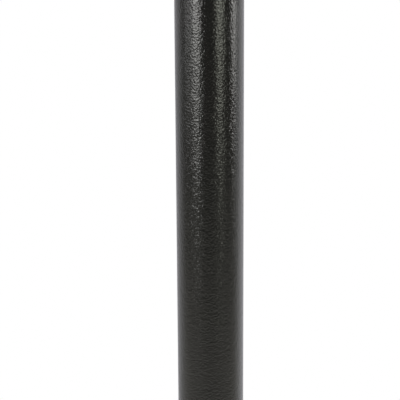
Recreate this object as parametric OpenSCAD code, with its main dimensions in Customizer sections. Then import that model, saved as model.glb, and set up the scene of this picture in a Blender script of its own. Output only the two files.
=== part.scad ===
// Garden oil torch. A ground spike carries a three-section steel pole. A ribbed head on the
// pole's top holds a fuel can, with a screw-on wick burner and a hinged snuffer.
// Z = 0 is ground level on the pole's axis, +Z is up, and the units are millimetres.

/* [Pole] */
// Outside diameter of the pole sections
pole_d = 25.4; // [19:0.1:32]
// Wall thickness of the pole sections
pole_wall = 1.2; // [0.9:0.1:2]
// Length of each of the three pole sections
section_len = 400; // [250:5:550]
// Length of the sleeve that joins two sections
sleeve_len = 90; // [60:1:140]
// Wall thickness of that sleeve
sleeve_wall = 1.5; // [1:0.1:2.5]
// Shank diameter of the pop rivets in the pole
pole_rivet_d = 3.2; // [2.4:0.1:4]

/* [Ground spike] */
// Diameter of the spike below ground
spike_d = 14; // [13:0.5:18]
// Diameter of the tenon on top of the spike
tenon_d = 11; // [8:0.5:12]
// Depth of the spike's tip below ground
spike_depth = 220; // [150:5:300]
// Length of the spike's cone
spike_point = 50; // [30:1:80]
// Length of the foot bar that pushes the spike in
foot_len = 120; // [80:1:160]
// Width of the foot bar
foot_w = 30; // [24:1:40]
// Thickness of the foot bar
foot_t = 5; // [3:0.5:8]
// Height of the plug's flange, which the pole stands on
plug_flange_h = 8; // [5:0.5:12]
// Length of the plug inside the pole
plug_len = 45; // [35:1:60]

/* [Fuel can] */
// Diameter of the can's side
can_d = 84; // [70:1:102]
// Height of the can up to its shoulder
can_h = 82; // [60:1:110]
// Wall thickness of the can
can_wall = 0.8; // [0.6:0.1:1.2]
// Rise of the can's domed shoulder
dome_h = 8; // [5:0.5:14]
// Diameter of the can's filling hole
neck_d = 44; // [43:0.5:53]
// Height of the threaded collar on the filling hole
collar_h = 11; // [8:0.5:16]
// Wall thickness of that collar
collar_wall = 5; // [3.5:0.5:6]
// Thickness of the gasket on the collar
gasket_t = 1.6; // [1:0.1:2.5]

/* [Cup and cage] */
// Wall thickness of the spun cup
cup_wall = 1.2; // [0.8:0.1:2]
// Height of the cup's bowl, below the ledge that the can sits on
bowl_h = 34; // [26:1:50]
// Height of the cup's wall above that ledge
cup_lip = 20; // [16:1:30]
// Length of the socket that slides over the pole
socket_len = 55; // [40:1:80]
// Wall thickness of the socket
socket_wall = 2.2; // [1.5:0.1:3]
// Number of ribs in the cage
rib_count = 12; // [8:1:16]
// Width of a rib
rib_w = 8; // [6:0.5:11]
// Thickness of a rib
rib_t = 2; // [1.5:0.1:3]
// Inside diameter of the hoop round the cage's top
cage_d = 124; // [118:1:150]
// Height of the bands round the cage
band_h = 11; // [8:0.5:13]
// Thickness of the bands round the cage
band_t = 1.6; // [1.2:0.1:2.5]
// Diameter of the wire hoop round the cage's waist
waist_wire_d = 4; // [3:0.5:6]
// Shank diameter of the cage's rivets
cage_rivet_d = 2.4; // [2:0.1:3]
// Thread diameter of the thumb screw
thumb_screw_d = 5; // [4:0.5:6]
// Diameter of the thumb screw's knob
thumb_knob_d = 18; // [14:1:24]

/* [Burner] */
// Thickness of the burner cap's plate
cap_t = 2; // [1.5:0.1:3]
// Wall thickness of the burner cap's skirt
skirt_wall = 2.9; // [2.5:0.1:4]
// Diameter of the wick
wick_d = 12; // [10:0.5:13]
// Height of the wick above its tube
wick_show = 10; // [6:0.5:14]
// Furthest that the wick is pushed up
wick_raise = 7; // [4:0.5:8]
// Furthest that the wick is drawn down
wick_lower = 6; // [3:0.5:8]
// Wall thickness of the wick tube
tube_wall = 1.45; // [1:0.05:2]
// Height of the wick tube above the burner cap
tube_show = 12; // [10:0.5:18]
// Height of the wick tube's nut
nut_h = 4; // [3:0.5:6]

/* [Snuffer] */
// Wall thickness of the snuffer bell
bell_wall = 1.2; // [0.8:0.1:1.6]
// Diameter of the snuffer's hinge pin
pin_d = 3; // [2.5:0.1:4]
// Width of the snuffer's arm
arm_w = 10; // [8:0.5:12]
// Thickness of the snuffer's arm and of its bracket
strap_t = 1.5; // [1.2:0.1:2]
// Diameter of the snuffer's knob
knob_d = 14; // [10:0.5:18]

/* [Hidden] */
$fn = 72;

// Clearances
running_gap = 0.05; // radial, on shafts, sleeves and rivets in their holes
thread_gap = 0.1;   // radial, between the thread crests of the cap and the collar
contact_gap = 0.05; // between a flat strip and the round wall it is fixed to
can_room = 0.8;     // round the can in the cup
side_gap = 0.3;     // between the snuffer's arm and the bracket's ears
shank_inset = 0.1;  // of a rivet's inner end, from the wall's inside face

// Pole and spike
pole_r = pole_d / 2;
bore_r = pole_r - pole_wall;
edge = 0.4; // chamfer on the ends of tubes
plug_rivet_at = 0.7; // place of the plug's rivets, as a share of its length
tenon_reach = 0.5;   // how far the tenon reaches into the plug, as a share of that
pole_base = foot_t + plug_flange_h;
joint_low = pole_base + section_len;
joint_high = joint_low + section_len;
pole_top = joint_high + section_len;
plug_rivet_z = pole_base + plug_len * plug_rivet_at;
tenon_top = pole_base + plug_len * tenon_reach;
spike_tip_r = 1.5;

// Fuel can, from the ledge up
can_r = can_d / 2;
seam_h = 3;   // height of the rolled seam round the can's base
seam_out = 1; // how far that seam stands out
bead_r = 1.2; // radius of the two stiffening beads
neck_r = neck_d / 2;
collar_r = neck_r + collar_wall;
collar_foot_h = 1.5; // the collar's foot is soldered to the dome
collar_foot_out = 1.2;
collar_foot_r = collar_r + collar_foot_out;
ledge_z = pole_top + bowl_h;
can_z = ledge_z + cup_wall;
shoulder_z = can_z + can_h;
collar_z = shoulder_z + dome_h;
gasket_z = collar_z + collar_h;
cap_z = gasket_z + gasket_t;
cap_top = cap_z + cap_t;

// Cup and cage
band_drop = 3;       // from the cup's lip down to the band
rib_below_band = 2;  // how far a rib shows below the band
flare_above_lip = 1; // where the ribs begin to lean out
hoop_flat = 2;       // upright length of a rib below the top hoop
curl_above_hoop = 1; // where the ribs' tips begin to curl
boss_share = 1.2;    // the screw boss's radius for each millimetre of thread
cup_bore_r = can_r + seam_out + can_room;
cup_r = cup_bore_r + cup_wall;
bowl_r = can_r - 2 * seam_out + cup_wall;
socket_bore_r = pole_r + running_gap;
socket_r = socket_bore_r + socket_wall;
screw_z = pole_top - socket_len / 2;
boss_r = thumb_screw_d * boss_share;
boss_out = socket_r + thumb_screw_d;
lip_z = can_z + cup_lip;
band_z = lip_z - band_h / 2 - band_drop;
rib_low_x = cup_r + contact_gap + rib_t / 2;
band_bore_r = norm([rib_low_x + rib_t / 2, rib_w / 2]) + contact_gap;
hoop_bore_r = cage_d / 2;
rib_high_x = sqrt(pow(hoop_bore_r, 2) - pow(rib_w / 2, 2)) - contact_gap - rib_t / 2;
hoop_z = shoulder_z;
rib_foot_z = band_z - band_h / 2 - rib_below_band;
flare_low_z = lip_z + flare_above_lip;
flare_high_z = hoop_z - band_h / 2 - hoop_flat;
curl_z = hoop_z + band_h / 2 + curl_above_hoop;
curl_r = 12;     // radius of the ribs' curled tips
curl_angle = 55; // how far the tips curl outward
cage_rivet_r = cage_rivet_d / 2;

// Burner
wick_gap = 0.15;        // round the wick in its tube
tube_flange_out = 3.4;  // the tube's flange under the cap
nut_corner_out = 2.8;   // the nut's corners outside the tube
wick_floor_gap = 2;     // under the wick when it is drawn right down
cap_bore_r = collar_r + thread_gap;
cap_r = cap_bore_r + skirt_wall;
flute_count = 36;
flute_r = 1.1;
wick_r = wick_d / 2;
tube_bore_r = wick_r + wick_gap;
tube_r = tube_bore_r + tube_wall;
tube_foot = 14; // how far the tube reaches below the cap's plate
tube_flange_r = tube_r + tube_flange_out;
tube_flange_t = 1.5;
tube_top = cap_top + tube_show;
nut_r = tube_r + nut_corner_out;
wick_top = tube_top + wick_show;
wick_foot_z = can_z + seam_h + can_wall + wick_lower + wick_floor_gap;
vent_r = 1.2;

// Snuffer, which turns about a pin beside the bell
nut_room = 2.4;     // round the nut, which the bell clears as it swings up
bell_lift = 0.4;    // between the bell's rim and the cap
wick_room = 3;      // over the wick when it is pushed right up
eye_wall = 0.45;    // metal round the pin, besides the arm's own thickness
pin_out = 10;       // from the bell to the hinge pin
pin_above_foot = 3; // under the arm's eye, over the bracket's foot
arm_rivet_up = 3;   // from the arm's eye up to its first rivet
arm_rivet_pitch = 6;
ear_wall = 0.6;     // of the bracket's ears, outside the arm's eye
bracket_gap = 3.2;  // between the bell and the bracket's foot
foot_margin = 4;    // from the foot's inner edge to its rivets
ear_margin = 3;     // from an ear to the foot's rivet beside it
bell_bore_r = nut_r + nut_room;
bell_r = bell_bore_r + bell_wall;
bell_z = cap_top + bell_lift;
bell_flat_r = 5;  // the flat on the bell's crown, where the knob sits
bell_crown_h = 8; // height of the bell's rounded crown
bell_inner_top = wick_top + wick_raise + wick_room;
bell_top = bell_inner_top + bell_wall;
pin_r = pin_d / 2;
eye_r = pin_r + running_gap + strap_t + eye_wall;
pin_x = bell_r + pin_out;
pin_z = cap_top + strap_t + pin_above_foot + eye_r;
arm_x = bell_r + contact_gap; // inner face of the arm where it is fixed to the bell
arm_rivet_z = pin_z + eye_r + arm_rivet_up;
arm_rivet_zs = [arm_rivet_z, arm_rivet_z + arm_rivet_pitch];
ear_y = arm_w / 2 + side_gap;
ear_r = eye_r + ear_wall;
bracket_x = bell_r + bracket_gap;
foot_rivet_x = bracket_x + foot_margin;
foot_rivet_y = ear_y + strap_t + ear_margin;
strap_rivet_r = 1.2;

// Points along an ellipse's arc from angle a to angle b
function arc(centre, rx, rz, a, b, steps = 8) = [
    for (i = [0:steps])
        let (angle = a + (b - a) * i / steps)
        [centre[0] + rx * cos(angle), centre[1] + rz * sin(angle)]
];

// A list's points, last one first
function reversed(list) = [for (i = [len(list) - 1:-1:0]) list[i]];

// A point beside a path's point i, at a distance to its right
function beside(path, i, distance) =
    let (
        before = path[max(i - 1, 0)],
        after = path[min(i + 1, len(path) - 1)],
        along = (after - before) / norm(after - before)
    )
    path[i] + distance * [along[1], -along[0]];

// A strip of even thickness along a path, as one outline
function strip(path, thickness) = concat(
    [for (i = [0:len(path) - 1]) beside(path, i, thickness / 2)],
    [for (i = [len(path) - 1:-1:0]) beside(path, i, -thickness / 2)]
);

// A tube on the Z axis with chamfered outer edges
module tube(outer_r, inner_r, low, high) {
    rotate_extrude()
        polygon([
            [inner_r, low], [outer_r - edge, low], [outer_r, low + edge],
            [outer_r, high - edge], [outer_r - edge, high], [inner_r, high],
        ]);
}

// What is drawn along Z is laid along +X, at a height
module along_x(height) {
    translate([0, 0, height])
        rotate([0, 90, 0])
            children();
}

// Copies round the Z axis
module around(count) {
    for (i = [0:count - 1])
        rotate([0, 0, i * 360 / count])
            children();
}

// A domed rivet on the Z axis: its shank starts at low, and its head sits at seat
module rivet(shank_r, low, seat) {
    head_share = 1.9; // the head's radius for each millimetre of the shank's
    head_r = shank_r * head_share;
    head_h = shank_r;
    dome_r = (pow(head_r, 2) + pow(head_h, 2)) / (2 * head_h);
    translate([0, 0, low])
        cylinder(r = shank_r, h = seat - low + head_h / 2);
    difference() {
        translate([0, 0, seat + head_h - dome_r])
            sphere(r = dome_r);
        translate([0, 0, seat - dome_r * 2])
            cylinder(r = dome_r * 2, h = dome_r * 2);
    }
}

// Two rivets on opposite sides of the pole, at a height, that reach in to a radius
module pole_rivets(height, inner_r) {
    around(2)
        along_x(height)
            rivet(pole_rivet_d / 2, inner_r, pole_r);
}

// Holes on opposite sides of the pole for those rivets
module pole_rivet_holes(height) {
    translate([0, 0, height])
        rotate([0, 90, 0])
            cylinder(r = pole_rivet_d / 2 + running_gap, h = pole_d + 2, center = true);
}

module ground_spike() {
    color("silver")
        rotate_extrude()
            polygon([
                [0, -spike_depth], [spike_tip_r, -spike_depth],
                [spike_d / 2, spike_point - spike_depth], [spike_d / 2, 0],
                [tenon_d / 2, 0], [tenon_d / 2, tenon_top], [0, tenon_top],
            ]);
}

module foot_bar() {
    end_x = (foot_len - foot_w) / 2;
    groove_r = 1.6;
    groove_up = 0.8; // of a groove's middle over the bar's top
    groove_pitch = 7;
    color("black")
        difference() {
            union() {
                translate([-end_x, -foot_w / 2, 0])
                    cube([2 * end_x, foot_w, foot_t]);
                for (side = [-1, 1])
                    translate([side * end_x, 0, 0])
                        cylinder(r = foot_w / 2, h = foot_t);
            }
            translate([0, 0, -1])
                cylinder(r = tenon_d / 2 + running_gap, h = foot_t + 2);
            // grip grooves across the top
            for (side = [-1, 1], i = [0:3])
                translate([side * (end_x - i * groove_pitch), 0, foot_t + groove_up])
                    rotate([90, 0, 0])
                        cylinder(r = groove_r, h = foot_w + 2, center = true);
        }
}

module spike_plug() {
    flange_r = pole_r + 2;
    foot_bevel = 1;
    top_bevel = 1.5;
    spigot_r = bore_r - running_gap;
    bore = tenon_d / 2 + running_gap;
    spigot_top = pole_base + plug_len;
    color("dimgray")
        difference() {
            rotate_extrude()
                polygon([
                    [bore, foot_t],
                    [flange_r - foot_bevel, foot_t], [flange_r, foot_t + foot_bevel],
                    [flange_r, pole_base - top_bevel], [flange_r - top_bevel, pole_base],
                    [spigot_r, pole_base], [spigot_r, spigot_top - top_bevel],
                    [spigot_r - top_bevel, spigot_top], [0, spigot_top],
                    [0, tenon_top + 1], [bore, tenon_top + 1],
                ]);
            pole_rivet_holes(plug_rivet_z);
        }
}

module spike_rivets() {
    reach = 5; // into the plug
    color("gray")
        pole_rivets(plug_rivet_z, bore_r - reach);
}

// A pole section, with rivet holes at a height where it is given one or more
module pole_section(low, rivet_heights = []) {
    color([0.05, 0.05, 0.05])
        difference() {
            tube(pole_r, bore_r, low, low + section_len);
            for (height = rivet_heights)
                pole_rivet_holes(height);
        }
}

// A sleeve that is riveted in the section below a joint and enters the one above it
module joint_sleeve(joint) {
    color("silver")
        difference() {
            tube(
                bore_r - running_gap, bore_r - running_gap - sleeve_wall,
                joint - sleeve_len / 2, joint + sleeve_len / 2
            );
            pole_rivet_holes(joint - sleeve_len / 4);
        }
}

module sleeve_rivets(joint) {
    color("gray")
        pole_rivets(joint - sleeve_len / 4, bore_r - running_gap - sleeve_wall);
}

module pole_lower() {
    pole_section(pole_base, [plug_rivet_z, joint_low - sleeve_len / 4]);
}

module pole_middle() {
    pole_section(joint_low, [joint_high - sleeve_len / 4]);
}

module pole_upper() {
    pole_section(joint_high);
}

module head_socket() {
    low = pole_top - socket_len;
    bead_out = 1; // the rolled bead round the socket's mouth
    bead_half_h = 3;
    color([0.05, 0.05, 0.05])
        difference() {
            rotate_extrude()
                polygon(concat(
                    [[socket_bore_r + edge, low], [socket_bore_r, low + edge]],
                    [[socket_bore_r, pole_top], [socket_r, pole_top]],
                    reversed(arc([socket_r, low + bead_half_h], bead_out, bead_half_h, -90, 90))
                ));
            along_x(screw_z)
                cylinder(r = thumb_screw_d / 2, h = pole_d);
        }
}

module screw_boss() {
    color("dimgray")
        difference() {
            along_x(screw_z)
                cylinder(r = boss_r, h = boss_out);
            translate([0, 0, screw_z - boss_r - 1])
                cylinder(r = socket_r, h = 2 * boss_r + 2);
            along_x(screw_z)
                cylinder(r = thumb_screw_d / 2, h = boss_out + 1);
        }
}

module thumb_screw() {
    knob_r = thumb_knob_d / 2;
    flutes = 18;
    grip_r = 1.1;        // of the hollows round the knob
    grip_out = 0.4;      // of their middles, outside the knob
    knob_h = 6;
    crown_h = 1.2;
    crown_low = 0.7;     // the crown's radii, as shares of the knob's
    crown_high = 0.55;
    hub_share = 0.9;     // the hub's radius for each millimetre of thread
    hub_gap = 0.5;       // between the hub and the boss
    hub_h = 3;
    knob_x = boss_out + hub_gap + hub_h;
    color("dimgray")
        along_x(screw_z) {
            translate([0, 0, pole_r + side_gap])
                cylinder(r = thumb_screw_d / 2 - running_gap, h = knob_x - pole_r);
            translate([0, 0, boss_out + hub_gap])
                cylinder(r = thumb_screw_d * hub_share, h = knob_x - boss_out);
            translate([0, 0, knob_x])
                linear_extrude(height = knob_h)
                    difference() {
                        circle(r = knob_r);
                        for (i = [0:flutes - 1])
                            rotate(i * 360 / flutes)
                                translate([knob_r + grip_out, 0])
                                    circle(r = grip_r);
                    }
            translate([0, 0, knob_x + knob_h])
                cylinder(r1 = knob_r * crown_low, r2 = knob_r * crown_high, h = crown_h);
        }
}

module cup() {
    floor_r = socket_r + 1;
    ledge_t = cup_wall;
    drain_r = 2;
    drain_x = floor_r + 5;
    color([0.05, 0.05, 0.05])
        difference() {
            rotate_extrude()
                polygon(concat(
                    [[0, pole_top]],
                    arc([floor_r, ledge_z], bowl_r - floor_r, bowl_h, -90, 0, 12),
                    [[cup_r, ledge_z], [cup_r, lip_z - edge], [cup_r - edge, lip_z]],
                    [[cup_bore_r, lip_z], [cup_bore_r, ledge_z + ledge_t]],
                    reversed(arc(
                        [floor_r, ledge_z + ledge_t],
                        bowl_r - cup_wall - floor_r, bowl_h, -90, 0, 12
                    )),
                    [[0, pole_top + cup_wall]]
                ));
            around(rib_count)
                translate([cup_bore_r - 2, 0, 0])
                    along_x(band_z)
                        cylinder(r = cage_rivet_r + running_gap, h = cup_wall + 4);
            // rain drains
            around(3)
                translate([drain_x, 0, pole_top - 1])
                    cylinder(r = drain_r, h = bowl_h / 2);
        }
}

// The middle of a rib, seen from the side: up the cup, flaring out, and curled at its tip
function rib_path() = concat(
    [[rib_low_x, rib_foot_z]],
    [
        for (i = [0:12])
            let (t = i / 12, eased = t * t * (3 - 2 * t))
            [
                rib_low_x + (rib_high_x - rib_low_x) * eased,
                flare_low_z + (flare_high_z - flare_low_z) * t,
            ]
    ],
    reversed(arc([rib_high_x + curl_r, curl_z], curl_r, curl_r, 180 - curl_angle, 180, 6))
);

module cage_rib() {
    path = rib_path();
    tip = path[len(path) - 1];
    tip_z = tip[1] + rib_t / 2;
    point_h = 9; // height of the tip's point
    point_half_w = 0.8;
    difference() {
        intersection() {
            rotate([90, 0, 0])
                linear_extrude(height = rib_w, center = true)
                    polygon(strip(path, rib_t));
            rotate([90, 0, 90])
                linear_extrude(height = tip[0] + rib_t)
                    polygon([
                        [-rib_w / 2, rib_foot_z], [rib_w / 2, rib_foot_z],
                        [rib_w / 2, tip_z - point_h], [point_half_w, tip_z], [-point_half_w, tip_z],
                        [-rib_w / 2, tip_z - point_h],
                    ]);
        }
        for (height = [band_z, hoop_z])
            along_x(height)
                cylinder(r = cage_rivet_r + running_gap, h = tip[0] + rib_t);
    }
}

module cage_ribs() {
    color([0.05, 0.05, 0.05])
        around(rib_count)
            cage_rib();
}

// A flat band round the ribs, with a hole for each rib's rivet
module riveted_band(inner_r, height) {
    color([0.05, 0.05, 0.05])
        difference() {
            tube(inner_r + band_t, inner_r, height - band_h / 2, height + band_h / 2);
            around(rib_count)
                translate([inner_r - 2, 0, 0])
                    along_x(height)
                        cylinder(r = cage_rivet_r + running_gap, h = band_t + 4);
        }
}

module cage_band() {
    riveted_band(band_bore_r, band_z);
}

module cage_top_hoop() {
    riveted_band(hoop_bore_r, hoop_z);
}

module cage_waist_hoop() {
    wire_r = waist_wire_d / 2;
    waist_z = (flare_low_z + flare_high_z) / 2;
    // the ribs' outer corners at the hoop's upper side, where they reach out furthest
    middle_slope = 1.5; // of the ribs' flare, against that of a straight line
    lean = middle_slope * (rib_high_x - rib_low_x) / (flare_high_z - flare_low_z);
    rib_out = (rib_low_x + rib_high_x) / 2 + rib_t / 2 * norm([1, lean]);
    hoop_r = norm([rib_out, rib_w / 2]) + wire_r * norm([1, lean]) + contact_gap;
    color([0.05, 0.05, 0.05])
        rotate_extrude()
            translate([hoop_r, waist_z])
                circle(r = wire_r);
}

module band_rivets() {
    color("gray")
        around(rib_count)
            along_x(band_z)
                rivet(cage_rivet_r, cup_bore_r + shank_inset, band_bore_r + band_t);
}

module hoop_rivets() {
    color("gray")
        around(rib_count)
            along_x(hoop_z)
                rivet(cage_rivet_r, rib_high_x - rib_t / 2, hoop_bore_r + band_t);
}

module can_base() {
    seam_r = can_r + seam_out;
    seam_round = 1;
    foot_r = can_r - can_wall - seam_round;
    color("lightgray")
        rotate_extrude()
            polygon(concat(
                [[0, can_z + seam_h], [foot_r, can_z + seam_h]],
                arc([foot_r + seam_round, can_z + seam_round], seam_round, seam_round, 180, 270, 4),
                arc([seam_r - seam_round, can_z + seam_round], seam_round, seam_round, -90, 0, 4),
                [[seam_r, can_z + seam_h], [can_r - can_wall, can_z + seam_h]],
                [[can_r - can_wall, can_z + seam_h + can_wall]],
                [[0, can_z + seam_h + can_wall]]
            ));
}

module can_body() {
    low = can_z + seam_h;
    bore = can_r - can_wall;
    bead_x = can_r - bead_r / 2;
    shoulder_r = collar_foot_r + 1;
    color("lightgray")
        rotate_extrude()
            polygon(concat(
                [[bore, low + can_wall], [bore + can_wall / 2, low], [can_r, low]],
                arc([bead_x, can_z + can_h / 3], bead_r, bead_r, -60, 60, 6),
                arc([bead_x, can_z + can_h * 2 / 3], bead_r, bead_r, -60, 60, 6),
                arc([shoulder_r, shoulder_z], can_r - shoulder_r, dome_h, 0, 90, 10),
                [[neck_r, collar_z], [neck_r, collar_z - can_wall]],
                reversed(arc(
                    [shoulder_r, shoulder_z],
                    bore - shoulder_r, dome_h - can_wall, 0, 90, 10
                ))
            ));
}

module can_collar() {
    foot_top = collar_z + collar_foot_h;
    color("goldenrod")
        rotate_extrude()
            polygon([
                [neck_r, collar_z], [collar_foot_r, collar_z], [collar_foot_r, foot_top],
                [collar_r, foot_top], [collar_r, gasket_z - edge],
                [collar_r - edge, gasket_z], [neck_r, gasket_z],
            ]);
}

module collar_gasket() {
    inset = 0.5; // from the collar's bore and its rim
    color([0.1, 0.1, 0.1])
        rotate_extrude()
            translate([neck_r + inset, gasket_z])
                square([collar_wall - 2 * inset, gasket_t]);
}

module burner_cap() {
    skirt_gap = 0.6; // over the collar's foot
    skirt_z = collar_z + collar_foot_h + skirt_gap;
    round_r = 1.5;
    vent_x = -bell_r - vent_r - 1;
    hole_r = tube_r + running_gap;
    color("goldenrod")
        difference() {
            rotate_extrude()
                polygon(concat(
                    [[hole_r, cap_z], [cap_bore_r, cap_z], [cap_bore_r, skirt_z]],
                    [[cap_r - edge, skirt_z], [cap_r, skirt_z + edge]],
                    arc([cap_r - round_r, cap_top - round_r], round_r, round_r, 0, 90, 6),
                    [[hole_r, cap_top]]
                ));
            around(flute_count)
                translate([cap_r + flute_r / 2, 0, skirt_z - 1])
                    cylinder(r = flute_r, h = cap_top - round_r - skirt_z, $fn = 24);
            translate([vent_x, 0, cap_z - 1])
                cylinder(r = vent_r, h = cap_t + 2);
            for (side = [-1, 1])
                translate([foot_rivet_x, side * foot_rivet_y, cap_z - 1])
                    cylinder(r = strap_rivet_r + running_gap, h = cap_t + 2);
        }
}

module wick_tube() {
    flange_low = cap_z - tube_flange_t;
    lip_r = 0.7;
    color("goldenrod")
        rotate_extrude()
            polygon(concat(
                [[tube_bore_r, cap_z - tube_foot], [tube_r, cap_z - tube_foot]],
                [[tube_r, flange_low], [tube_flange_r, flange_low]],
                [[tube_flange_r, cap_z], [tube_r, cap_z]],
                arc([tube_r - lip_r, tube_top - lip_r], lip_r, lip_r, 0, 90, 5),
                [[tube_bore_r, tube_top]]
            ));
}

module tube_nut() {
    color("goldenrod")
        difference() {
            translate([0, 0, cap_top])
                cylinder(r = nut_r, h = nut_h, $fn = 6);
            translate([0, 0, cap_top - 1])
                cylinder(r = tube_r + running_gap, h = nut_h + 2);
        }
}

module wick() {
    foot_bevel = 1;
    round_r = 2;
    color("ivory")
        rotate_extrude()
            polygon(concat(
                [[0, wick_foot_z], [wick_r - foot_bevel, wick_foot_z]],
                [[wick_r, wick_foot_z + foot_bevel]],
                arc([wick_r - round_r, wick_top - round_r], round_r, round_r, 0, 90, 5),
                [[0, wick_top]]
            ));
}

module snuffer_bracket() {
    ear_x = pin_x - ear_r;
    foot_rim = 2.64; // from a foot rivet's middle to the foot's end
    foot_half = foot_rivet_y + foot_rim;
    color("silver")
        difference() {
            union() {
                translate([bracket_x, -ear_y - strap_t, cap_top])
                    cube([pin_x + ear_r - bracket_x, 2 * (ear_y + strap_t), strap_t]);
                translate([bracket_x, -foot_half, cap_top])
                    cube([2 * (foot_rivet_x - bracket_x), 2 * foot_half, strap_t]);
                for (side = [-1, 1])
                    translate([0, side * (ear_y + strap_t / 2), 0])
                        rotate([90, 0, 0])
                            linear_extrude(height = strap_t, center = true) {
                                translate([ear_x, cap_top])
                                    square([2 * ear_r, pin_z - cap_top]);
                                translate([pin_x, pin_z])
                                    circle(r = ear_r);
                            }
            }
            translate([pin_x, 0, pin_z])
                rotate([90, 0, 0])
                    cylinder(r = pin_r + running_gap, h = 4 * ear_y, center = true);
            for (side = [-1, 1])
                translate([foot_rivet_x, side * foot_rivet_y, cap_top - 1])
                    cylinder(r = strap_rivet_r + running_gap, h = strap_t + 2);
        }
}

module bracket_rivets() {
    color("silver")
        for (side = [-1, 1])
            translate([foot_rivet_x, side * foot_rivet_y, 0])
                rivet(strap_rivet_r, cap_z + shank_inset, cap_top + strap_t);
}

module snuffer_pin() {
    head_y = ear_y + strap_t;
    head_t = 1;
    head_r = pin_r * 1.6;
    color("silver")
        translate([pin_x, 0, pin_z])
            rotate([90, 0, 0]) {
                cylinder(r = pin_r, h = 2 * head_y, center = true);
                for (side = [-1, 1])
                    translate([0, 0, side * (head_y + head_t / 2)])
                        cylinder(r = head_r, h = head_t, center = true);
            }
}

module snuffer_arm() {
    knee_z = pin_z + eye_r - strap_t;
    end_margin = 4; // from the upper rivet to the arm's end
    arm_top = arm_rivet_zs[1] + end_margin;
    color("silver")
        difference() {
            rotate([90, 0, 0])
                linear_extrude(height = arm_w, center = true)
                    difference() {
                        union() {
                            translate([pin_x, pin_z])
                                circle(r = eye_r);
                            translate([arm_x, knee_z])
                                square([pin_x - arm_x, strap_t]);
                            translate([arm_x, knee_z])
                                square([strap_t, arm_top - knee_z]);
                        }
                        translate([pin_x, pin_z])
                            circle(r = pin_r + running_gap);
                    }
            for (height = arm_rivet_zs)
                along_x(height)
                    cylinder(r = strap_rivet_r + running_gap, h = pin_x);
        }
}

module arm_rivets() {
    color("silver")
        for (height = arm_rivet_zs)
            along_x(height)
                rivet(strap_rivet_r, bell_bore_r + shank_inset, arm_x + strap_t);
}

module snuffer_bell() {
    rim_r = 0.9;
    crown_z = bell_inner_top - bell_crown_h;
    stud_r = pin_r + running_gap;
    color("silver")
        difference() {
            rotate_extrude()
                polygon(concat(
                    [[bell_bore_r, bell_z]],
                    arc([bell_r, bell_z + rim_r], rim_r, rim_r, -90, 90, 6),
                    arc(
                        [bell_flat_r, crown_z],
                        bell_r - bell_flat_r, bell_crown_h + bell_wall, 0, 90
                    ),
                    [[stud_r, bell_top], [stud_r, bell_inner_top]],
                    reversed(arc(
                        [bell_flat_r, crown_z],
                        bell_bore_r - bell_flat_r, bell_crown_h, 0, 90
                    ))
                ));
            for (height = arm_rivet_zs)
                along_x(height)
                    cylinder(r = strap_rivet_r + running_gap, h = bell_r + 2);
        }
}

module snuffer_knob() {
    knob_r = knob_d / 2;
    base_r = bell_flat_r - 0.5;
    base_h = 1;
    neck_r = knob_r * 0.45;
    neck_low = bell_top + 2.5;
    grip_half_h = 2.5;
    grip_z = neck_low + 5;
    crown_h = 0.4; // of the low cone on the grip
    color([0.1, 0.1, 0.1])
        rotate_extrude()
            polygon(concat(
                [[0, bell_inner_top], [pin_r, bell_inner_top], [pin_r, bell_top]],
                [[base_r, bell_top], [base_r, bell_top + base_h], [neck_r, neck_low]],
                arc([neck_r, grip_z], knob_r - neck_r, grip_half_h, -90, 90, 10),
                [[0, grip_z + grip_half_h + crown_h]]
            ));
}

ground_spike();
foot_bar();
spike_plug();
spike_rivets();
pole_lower();
joint_sleeve(joint_low);  // joint_sleeve_lower
sleeve_rivets(joint_low);  // sleeve_rivets_lower
pole_middle();
joint_sleeve(joint_high);  // joint_sleeve_upper
sleeve_rivets(joint_high);  // sleeve_rivets_upper
pole_upper();
head_socket();
screw_boss();
thumb_screw();
cup();
cage_ribs();
cage_band();
cage_waist_hoop();
cage_top_hoop();
band_rivets();
hoop_rivets();
can_base();
can_body();
can_collar();
collar_gasket();
burner_cap();
wick_tube();
tube_nut();
wick();
snuffer_bracket();
bracket_rivets();
snuffer_pin();
snuffer_arm();
arm_rivets();
snuffer_bell();
snuffer_knob();
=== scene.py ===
# %% [markdown]
# # A garden oil torch
#
# This lesson dresses the CAD model of an oil torch: a ground spike, a black pole in three
# sections, and a ribbed head with a fuel can, a wick burner and a snuffer. The CAD solids
# already have the right shapes and places, so most of the work is in their finishes. Blender
# adds what the CAD model keeps plain: the braided wick, the thread on the can's collar, and
# the weld beads of the head.
#
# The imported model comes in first, because everything after it is placed from its boxes.

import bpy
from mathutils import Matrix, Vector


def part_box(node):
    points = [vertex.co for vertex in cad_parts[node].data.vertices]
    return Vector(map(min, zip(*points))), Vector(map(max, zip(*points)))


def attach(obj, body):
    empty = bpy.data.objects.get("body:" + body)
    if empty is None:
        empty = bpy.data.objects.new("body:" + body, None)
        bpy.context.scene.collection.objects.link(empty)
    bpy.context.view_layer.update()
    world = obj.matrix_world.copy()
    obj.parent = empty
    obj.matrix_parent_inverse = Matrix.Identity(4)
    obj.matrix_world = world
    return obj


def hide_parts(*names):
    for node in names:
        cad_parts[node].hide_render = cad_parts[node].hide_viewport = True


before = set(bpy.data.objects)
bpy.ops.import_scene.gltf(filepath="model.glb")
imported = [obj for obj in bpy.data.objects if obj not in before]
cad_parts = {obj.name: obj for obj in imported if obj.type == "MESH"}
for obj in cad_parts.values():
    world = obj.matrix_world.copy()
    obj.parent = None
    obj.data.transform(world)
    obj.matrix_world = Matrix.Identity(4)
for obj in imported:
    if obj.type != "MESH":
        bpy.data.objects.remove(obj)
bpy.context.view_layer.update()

# %% Libraries and the unit
import math
import random

import bmesh
import bpy
from mathutils import Matrix, Vector

MM = 0.001

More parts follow.
